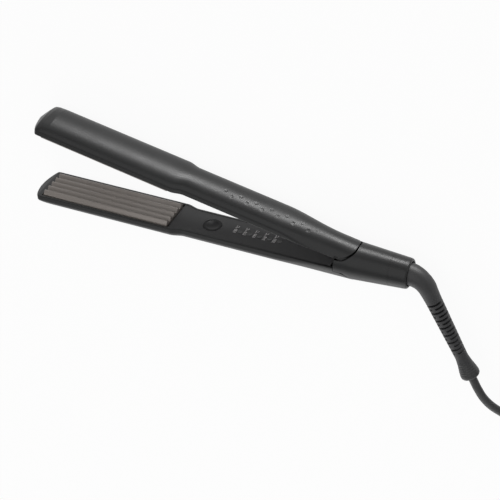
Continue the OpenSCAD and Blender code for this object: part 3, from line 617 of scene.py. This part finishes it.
def hinge_housing():
    """Hollow housing with the lower arm's seat and the mouth in which the tongue turns."""
    inner_r = HUB_R - HUB_WALL
    profile = [(inner_r, NOSE_X), (HUB_R - HUB_SOFT, NOSE_X),
               (HUB_R - HUB_SOFT * 0.3, NOSE_X + HUB_SOFT * 0.3), (HUB_R, NOSE_X + HUB_SOFT)]
    profile += [(hub_r(x), x) for x in np.linspace(NOSE_X + 1, RING_X - 0.06, 40)]
    profile += [(hub_r(RING_X) - 0.05, RING_X), (HUB_REAR_R - SEAT_INSET, RING_X),
                (HUB_REAR_R - SEAT_INSET, BULKHEAD_X + BULKHEAD_T),
                (BULKHEAD_BORE_R, BULKHEAD_X + BULKHEAD_T), (BULKHEAD_BORE_R, BULKHEAD_X),
                (hub_r(BULKHEAD_X) - HUB_WALL, BULKHEAD_X), (inner_r, CONE_START)]
    mouth = end_outline(TONGUE_X + RIM_GAP, MOUTH_W)
    cuts = [prism(mouth, CUT_FROM, CUT_TO, turned(angle)) for angle in (0, OPEN / 2, OPEN)]
    cuts.append(prism(end_outline(LOWER_SEAM_X, LOWER_W + SEAM_GAP), CUT_FROM, CUT_TO,
                      lower_side))
    return carved(*round_the_axis(profile), cuts)


def rear_ring():
    """Ring that holds the swivel, with a foot in the housing's seat and a rounded end."""
    foot_r = HUB_REAR_R - SEAT_INSET - 0.02
    profile = [(BORE_R, RING_X - RING_FOOT), (foot_r, RING_X - RING_FOOT), (foot_r, RING_X),
               (hub_r(RING_X) - 0.08, RING_X), (hub_r(RING_X), RING_X + 0.08)]
    profile += [(hub_r(x), x) for x in np.linspace(RING_X + 1, HUB_BACK - RING_EDGE - 0.6, 10)]
    profile += [(HUB_REAR_R - RING_EDGE + RING_EDGE * math.cos(a),
                 HUB_BACK - RING_EDGE + RING_EDGE * math.sin(a)) for a in quarter_turn(10)]
    profile += [(BORE_R + 0.3, HUB_BACK), (BORE_R, HUB_BACK - 0.3)]
    return round_the_axis(profile)


finish_piece("hinge_housing_skin", hinge_housing(), soft_plastic, "lower_arm",
             ["hinge_housing"], "soft_plastic")
piece("rear_ring_skin", *rear_ring(), soft_plastic, "lower_arm", ["rear_ring"], "soft_plastic")


# ---- Strain relief: one tube whose radius follows the root, the bend, the slots and the bell ----
RELIEF_SIDES, CORE_R, WEB = 128, 3.4, 1.3
SLOT_SOFT, SLOT_FADE, WEB_FADE = 0.2, 0.3, 0.4      # of the slots' and the webs' walls
SLOTS_END = SLOT_START + (SLOTS - 1) * SLOT_PITCH + SLOT_W + 1.2
BEND_RADII = ([0, 0.3, 0.6, 1],
              [ROOT_R - 0.15, ROOT_R - 0.45, ROOT_R - 1.05, RELIEF_R - 0.15])
STRAIGHT_RADII = [(0, RELIEF_R - 0.15), (2.4, 5.5), (5.4, 5.3), (7, 5.2),
                  (SLOT_START - 0.8, 5.15), (SLOTS_END, 4.15), (SLOTS_END + 2.6, 4.05)]
BELL_RADII = [(13.4, 4.25), (10, 4.75), (6.8, 5.4), (4.5, 5.9), (2.2, 6.15), (0.9, 6.05),
              (0.2, 5.6), (0, 5.0)]     # by the distance from the bell's end
BELL_RIDGES, RIDGE_PITCH, RIDGE_H, RIDGES_BACK = 5, 1.5, 0.12, 11
NOT_STRAIGHT = -99     # distance given to the rings before the straight part


def bend_point(angle):
    """Centre of the strain relief's bend after an angle."""
    return np.array([ELBOW_X + ELBOW_R * math.sin(angle),
                     -HUB_DROP - ELBOW_R * (1 - math.cos(angle)), 0])


bend = math.radians(ELBOW_ANGLE)
bend_end = bend_point(bend)
relief_dir = np.array([math.cos(bend), -math.sin(bend), 0])


def straight_radius(s):
    """Radius at a distance s along the straight part, slots left out."""
    at, radius = zip(*STRAIGHT_RADII, *[(RELIEF_L - back, r) for back, r in BELL_RADII])
    ridge_turn = min(BELL_RIDGES, max(0, (s - RELIEF_L + RIDGES_BACK) / RIDGE_PITCH))
    ridge = RIDGE_H / 2 * (1 - math.cos(2 * math.pi * ridge_turn))
    return float(np.interp(s, at, radius)) - ridge


def straight_stops():
    """Distances of the rings along the straight part, dense at the slots and at the end."""
    stops = list(np.linspace(0.4, SLOT_START - 0.5, 12))
    for i in range(SLOTS):
        s = SLOT_START + i * SLOT_PITCH
        stops += [s + edge + step for edge in (0, SLOT_W)
                  for step in (-0.22, -0.1, 0, 0.1, 0.22)] + [s + SLOT_W + 1]
    stops += list(np.linspace(SLOTS_END + 0.5, RELIEF_L - 2.4, 70))
    return stops + list(RELIEF_L - np.array([2.2, 1.8, 1.4, 0.9, 0.6, 0.4, 0.2, 0.08, 0]))


def relief_rings():
    """(centre, side direction, radius, distance along the straight part) of each ring."""
    rows = [((x, -HUB_DROP, 0), (0, 1, 0), r, NOT_STRAIGHT)
            for x, r in ((ROOT_X, ROOT_R - 0.5), (ROOT_X + 0.5, ROOT_R), (ROOT_X + 4, ROOT_R),
                         (ELBOW_X - 1, ROOT_R), (ELBOW_X - 0.3, ROOT_R - 0.06))]
    for t in np.linspace(0, 1, 40):
        a = bend * t
        rows.append((bend_point(a), (math.sin(a), math.cos(a), 0), np.interp(t, *BEND_RADII),
                     NOT_STRAIGHT))
    for s in straight_stops():
        rows.append((bend_end + s * relief_dir, (math.sin(bend), math.cos(bend), 0),
                     straight_radius(s), s))
    return rows


def slotted(r, s, angles):
    """Radii round a ring at a distance s: each slot leaves a core and two webs across it."""
    i = round((s - SLOT_START - SLOT_W / 2) / SLOT_PITCH)
    if s <= 0 or not 0 <= i < SLOTS:
        return np.full(len(angles), r)
    off = abs(s - SLOT_START - i * SLOT_PITCH - SLOT_W / 2) - SLOT_W / 2
    deep = 1 - smooth((off + SLOT_SOFT) / SLOT_FADE)
    across = np.abs(np.sin(angles) if i % 2 == 0 else np.cos(angles)) * r
    open_share = np.array([smooth((a - WEB + SLOT_SOFT) / WEB_FADE) for a in across])
    return r - (r - CORE_R) * deep * open_share


def relief_skin():
    angles = circle(RELIEF_SIDES)
    rows = relief_rings()
    verts = []
    for centre, side, r, s in rows:
        radii = slotted(r, s, angles)
        outward = np.cos(angles)[:, None] * side + np.sin(angles)[:, None] * [0, 0, 1.0]
        verts.append(centre + radii[:, None] * outward)
    faces = loft_faces(len(rows), RELIEF_SIDES) + end_caps(len(rows), RELIEF_SIDES)
    return laid(np.concatenate(verts)), faces


relief = piece("strain_relief_skin", *relief_skin(), relief_rubber, "lead", ["strain_relief"],
               "cord_rubber", sharp=40)


# ---- Lead and hank; the route repeats the CAD source's points ----
LEAD_ROUTE = [(178.2, -106.4, 13.3), (182.8, -113.6, 10.8), (188.8, -120.2, 7.4),
              (196.6, -125.6, 4.6), (206, -128.8, 3.1), (215, -129.9, 2.75)]
HANK_START = np.array([235, -130, 2.75])
TURN_STEPS, LEAD_STEPS, TAIL_STEPS = 96, 8, 6
EPS = 1e-6

turn_back = TURNS / 2
hank_step, layer_h = LEAD_D + HANK_GAP, LEAD_D + LAYER_GAP
hank_centre = HANK_START + [HANK_RUN / 2, FOLD_R + turn_back * hank_step, 0]


def curve_through(p, steps):
    """Smooth curve through given points."""
    p = np.array(p, float)
    out = []
    for k in range(len(p) - 1):
        a, b, c, d = p[max(k - 1, 0)], p[k], p[k + 1], p[min(k + 2, len(p) - 1)]
        for t in np.arange(steps) / steps:
            out.append(0.5 * (2 * b + (c - a) * t + (2 * a - 5 * b + 4 * c - d) * t ** 2
                              + (3 * b - a - 3 * c + d) * t ** 3))
    return out + [p[-1]]


def hank_point(u):
    """Point after u turns: inwards in the lower layer, then outwards in the upper one."""
    p = u - math.floor(u + EPS)
    r = FOLD_R + hank_step * abs(u - turn_back)
    h = layer_h * smooth((u - turn_back) / RUN_SHARE + 0.5)
    near = p <= RUN_SHARE + EPS
    far = 0.5 - EPS <= p <= 0.5 + RUN_SHARE + EPS
    if near or far:
        x = HANK_RUN * (p / RUN_SHARE - 0.5) if near else HANK_RUN * (0.5 - (p - 0.5) / RUN_SHARE)
        waist = (1 + math.cos(2 * math.pi * x / HANK_RUN)) / 2
        y = r - (FOLD_R - WAIST_HALF) * waist
        return (x, -y if near else y, h + WAIST_LIFT * waist)
    a = math.pi * (p - (RUN_SHARE if p < 0.5 else 0.5 + RUN_SHARE)) / (0.5 - RUN_SHARE)
    if p < 0.5:
        return (HANK_RUN / 2 + r * math.sin(a), -r * math.cos(a), h)
    return (-HANK_RUN / 2 - r * math.sin(a), r * math.cos(a), h)


relief_end = bend_end + RELIEF_L * relief_dir - MID
hank = [hank_centre + hank_point(k / TURN_STEPS) for k in range(int(TURNS * TURN_STEPS) + 1)]
hank_end = hank[-1]
plug_x = hank_end[0] + PLUG_AHEAD
lead_curve = curve_through([relief_end + i * LEAD_D * relief_dir for i in range(3)] + LEAD_ROUTE
                           + [HANK_START - [2 * LEAD_D, 0, 0]], LEAD_STEPS)
tail = curve_through([hank_end, hank_end + [LEAD_D, 0, 0], hank_end + [LEAD_D + 5, 0, 0],
                      hank_end + [21, 0, (PLUG_H - hank_end[2]) * 0.9],
                      (plug_x - LEAD_D, hank_end[1], PLUG_H), (plug_x, hank_end[1], PLUG_H)],
                     TAIL_STEPS)
route = np.array(lead_curve + [HANK_START - [LEAD_D, 0, 0]] + hank + tail[1:]) * MM

tube = bpy.data.curves.new("mains_lead", "CURVE")
tube.dimensions = "3D"
tube.bevel_depth = LEAD_D / 2 * MM
tube.bevel_resolution = 5
tube.use_fill_caps = True
spline = tube.splines.new("POLY")
spline.points.add(len(route) - 1)
for point, co in zip(spline.points, route):
    point.co = (*co, 1)
tube.materials.append(cord_rubber)
lead = new_object("mains_lead", tube)
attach(lead, "lead")
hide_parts("power_cord", "cord_hank")


# ---- Plug ----
PLUG_SIDES = 96
COLLAR_L, NECK_L, FACE_L = 8, 16, 12
GRIP_W, GRIP_T, GRIP_POWER = 15.5, 6.7, 3.2
RIBS, RIB_PITCH = 5, 1.5
RIB_OUT, RIB_IN = (15.6, 6.75, GRIP_POWER), (15.2, 6.35, GRIP_POWER)


def rounded_box(half_w, half_t, power):
    """Section (z, y) between an ellipse, power 2, and a box."""
    a = circle(PLUG_SIDES)
    ca, sa = np.cos(a), np.sin(a)
    return np.stack([half_t * np.sign(ca) * np.abs(ca) ** (2 / power),
                     half_w * np.sign(sa) * np.abs(sa) ** (2 / power)], -1)


def plug_skin():
    """Flat two-pin plug: rounded sections from the cord's collar over the ribs to the face."""
    r = LEAD_D / 2
    rows = [(0, r + 0.2, r + 0.2, 2), (0, r + 1.0, r + 1.0, 2), (0.3, r + 1.3, r + 1.3, 2),
            (7.2, r + 1.3, r + 1.3, 2), (COLLAR_L, r + 1.8, r + 1.5, 2.1)]
    for s in np.linspace(0.06, 1, 14):
        rows.append((COLLAR_L + NECK_L * s, mix(r + 1.8, GRIP_W, smooth(s)),
                     mix(r + 1.5, GRIP_T, smooth(s)), mix(2.1, GRIP_POWER, s)))
    for i in range(RIBS):
        x = PLUG_L - FACE_L + RIB_PITCH * i
        rows += [(x + 0.35, *RIB_OUT), (x + 0.55, *RIB_IN), (x + 0.95, *RIB_IN),
                 (x + 1.15, *RIB_OUT)]
    rows += [(PLUG_L - 4, 16.4, 6.78, 3.4), (PLUG_L - 3.2, 17.2, 6.8, 3.6),
             (PLUG_L - 0.8, 17.4, 6.8, 3.6), (PLUG_L - 0.25, 17.2, 6.6, 3.6),
             (PLUG_L, 16.6, 6.1, 3.6)]
    verts = [(plug_x + x, hank_end[1] + y, PLUG_H + z)
             for x, half_w, half_t, power in rows for z, y in rounded_box(half_w, half_t, power)]
    faces = loft_faces(len(rows), PLUG_SIDES) + end_caps(len(rows), PLUG_SIDES)
    return np.array(verts) * MM, faces


plug = piece("plug_body_skin", *plug_skin(), plug_plastic, "lead", ["plug_body"], "plug_plastic")


# ---- Printed numbers and the rings round the lights, on the lower cover ----
FIRST_NUMBER, NUMBER_STEP = 150, 20
NUMBER_SIZE, NUMBER_BOLD, NUMBER_T, NUMBER_LIFT = 2.7, 0.05, 0.03, 0.03
NUMBER_BEFORE, NUMBER_Z = 3.2, -1.6     # from the number's light
RING_IN, RING_OUT, RING_H, RING_SUNK, RING_SIDES = 0.95, 1.6, 0.16, 0.02, 48
# Turns a text's X, Y and Z to the row frame's -Z, -X and Y
ON_COVER = Matrix(((0, 1, 0), (0, 0, 1), (1, 0, 0))).to_4x4() @ Matrix.Rotation(math.pi, 4, "Z")
WINDOW_PROFILE = [(RING_IN, 0), (RING_IN, RING_H * 0.5), (mix(RING_IN, RING_OUT, 0.25), RING_H),
                  (mix(RING_IN, RING_OUT, 0.6), RING_H), (RING_OUT, RING_H * 0.4),
                  (RING_OUT, 0)]


def printed_number(i, light_x):
    text = bpy.data.curves.new(f"number_{i}", "FONT")
    text.body = f"{FIRST_NUMBER + NUMBER_STEP * i} \u00b0C"
    text.size = NUMBER_SIZE * MM
    text.offset = NUMBER_BOLD * MM
    text.extrude = NUMBER_T * MM
    text.align_x = text.align_y = "CENTER"
    text.materials.append(print_white)
    obj = new_object(f"number_{i}", text)
    place = lower_side([light_x - NUMBER_BEFORE, COVER_FACE - NUMBER_LIFT, NUMBER_Z])
    obj.matrix_world = Matrix.Translation(place) @ ON_COVER
    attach(obj, "lower_arm")


def window_ring(i, light_x):
    points, faces = revolved(WINDOW_PROFILE, RING_SIDES)
    across, up, along = points.T
    verts = np.stack([light_x + across, COVER_FACE + RING_SUNK - along, up], -1)
    piece(f"window_ring_{i}", lower_side(verts), faces, ring_black, "lower_arm")


for i in range(LIGHTS):
    printed_number(i, LIGHT_X + i * LIGHT_PITCH)
    window_ring(i, LIGHT_X + i * LIGHT_PITCH)

# ---- Small edges on the CAD pieces that show ----
WELD_REACH, BEVEL_OVER = 0.00001, math.radians(40)
EDGE_WIDTHS = {"lower_plate_seat": 0.2, "upper_plate_seat": 0.2, "power_button": 0.12,
               "cord_tie": 0.3, "plug_pins": 0.1, "light_guides": 0.05}

for node, width in EDGE_WIDTHS.items():
    weld = NODES[node].modifiers.new("weld", "WELD")
    weld.merge_threshold = WELD_REACH
    bevel = NODES[node].modifiers.new("edges", "BEVEL")
    bevel.width = width * MM
    bevel.segments = 2
    bevel.limit_method = "ANGLE"
    bevel.angle_limit = BEVEL_OVER

# ---- Floor and world ----
SWEEP = [(3.2, 0), (3.8, 0.05), (4.3, 0.25), (4.6, 0.6), (4.75, 1.1), (4.8, 1.8)]  # radius, z
SWEEP_SIDES, FLOOR_SUNK = 96, 0.0002
FLOOR_COLOR, FLOOR_ROUGH = (0.8, 0.8, 0.8, 1), 0.9
WHITE_SHARE = 0.93                      # the rest is shaded, so that a faint shadow shows
WORLD_STRENGTH = 0.5


def floor_white():
    """White where the camera, a reflection or glass sees it, and plain pale for the rest."""
    white = bpy.data.materials.new("floor_white")
    white.use_nodes = True
    tree = white.node_tree
    nodes, links = tree.nodes, tree.links
    shader = nodes["Principled BSDF"]
    shader.inputs["Base Color"].default_value = FLOOR_COLOR
    shader.inputs["Roughness"].default_value = FLOOR_ROUGH
    glow = nodes.new("ShaderNodeEmission")
    glow.inputs["Strength"].default_value = 1.0
    path = nodes.new("ShaderNodeLightPath")
    seen = path.outputs["Is Camera Ray"]
    for ray in ("Is Glossy Ray", "Is Transmission Ray"):
        seen = math_node(tree, "MAXIMUM", seen, path.outputs[ray])
    blend = nodes.new("ShaderNodeMixShader")
    links.new(math_node(tree, "MULTIPLY", seen, WHITE_SHARE), blend.inputs["Fac"])
    links.new(shader.outputs[0], blend.inputs[1])
    links.new(glow.outputs[0], blend.inputs[2])
    links.new(blend.outputs[0], nodes["Material Output"].inputs["Surface"])
    return white


def studio_sweep():
    """Round floor that rises into a low wall, so that every view has the same pale background."""
    a = circle(SWEEP_SIDES)
    verts = np.concatenate([np.stack([r * np.cos(a), r * np.sin(a),
                                      np.full(SWEEP_SIDES, z - FLOOR_SUNK)], -1)
                            for r, z in SWEEP])
    faces = loft_faces(len(SWEEP), SWEEP_SIDES) + [tuple(range(SWEEP_SIDES))]
    data = new_mesh("floor", verts, faces)
    if data.polygons[-1].normal.z < 0:
        data.flip_normals()
    data.polygons.foreach_set("use_smooth", [True] * len(data.polygons))
    data.materials.append(floor_white())
    return new_object("floor", data)


floor = studio_sweep()
floor.visible_shadow = False

world = bpy.data.worlds.new("studio")
scene.world = world
world.use_nodes = True
back = world.node_tree.nodes["Background"]
back.inputs["Color"].default_value = (1, 1, 1, 1)
back.inputs["Strength"].default_value = WORLD_STRENGTH


# ---- Lamps ----
def lamp(name, place, target, size, power, sheen_only=False):
    """Area lamp; one for the sheen alone leaves the matt light of the surfaces as it is."""
    data = bpy.data.lights.new(name, "AREA")
    data.shape = "RECTANGLE"
    data.size, data.size_y = size
    data.energy = power
    data.cycles.use_multiple_importance_sampling = not sheen_only
    obj = new_object(name, data)
    obj.location = place
    obj.rotation_euler = (Vector(target) - Vector(place)).to_track_quat("-Z", "Y").to_euler()
    obj.visible_diffuse = not sheen_only


# The highlight along the upper arm faces down in the photograph, so the key lamp stands lower
# than the surface that the crimper lies on. It reaches the arms, as the floor casts no shadow,
# and gives only this sheen: the fill and top lamps and the world light the colours.
lamp("key", (0.2, 1.0, -0.42), (0, 0, 0.02), (1.0, 0.36), 15, sheen_only=True)
lamp("fill", (0.05, -1.0, 0.45), (0, 0, 0), (1.6, 0.9), 5)
lamp("top", (0.1, 0.5, 1.2), (0, 0, 0), (1.6, 1.6), 7)
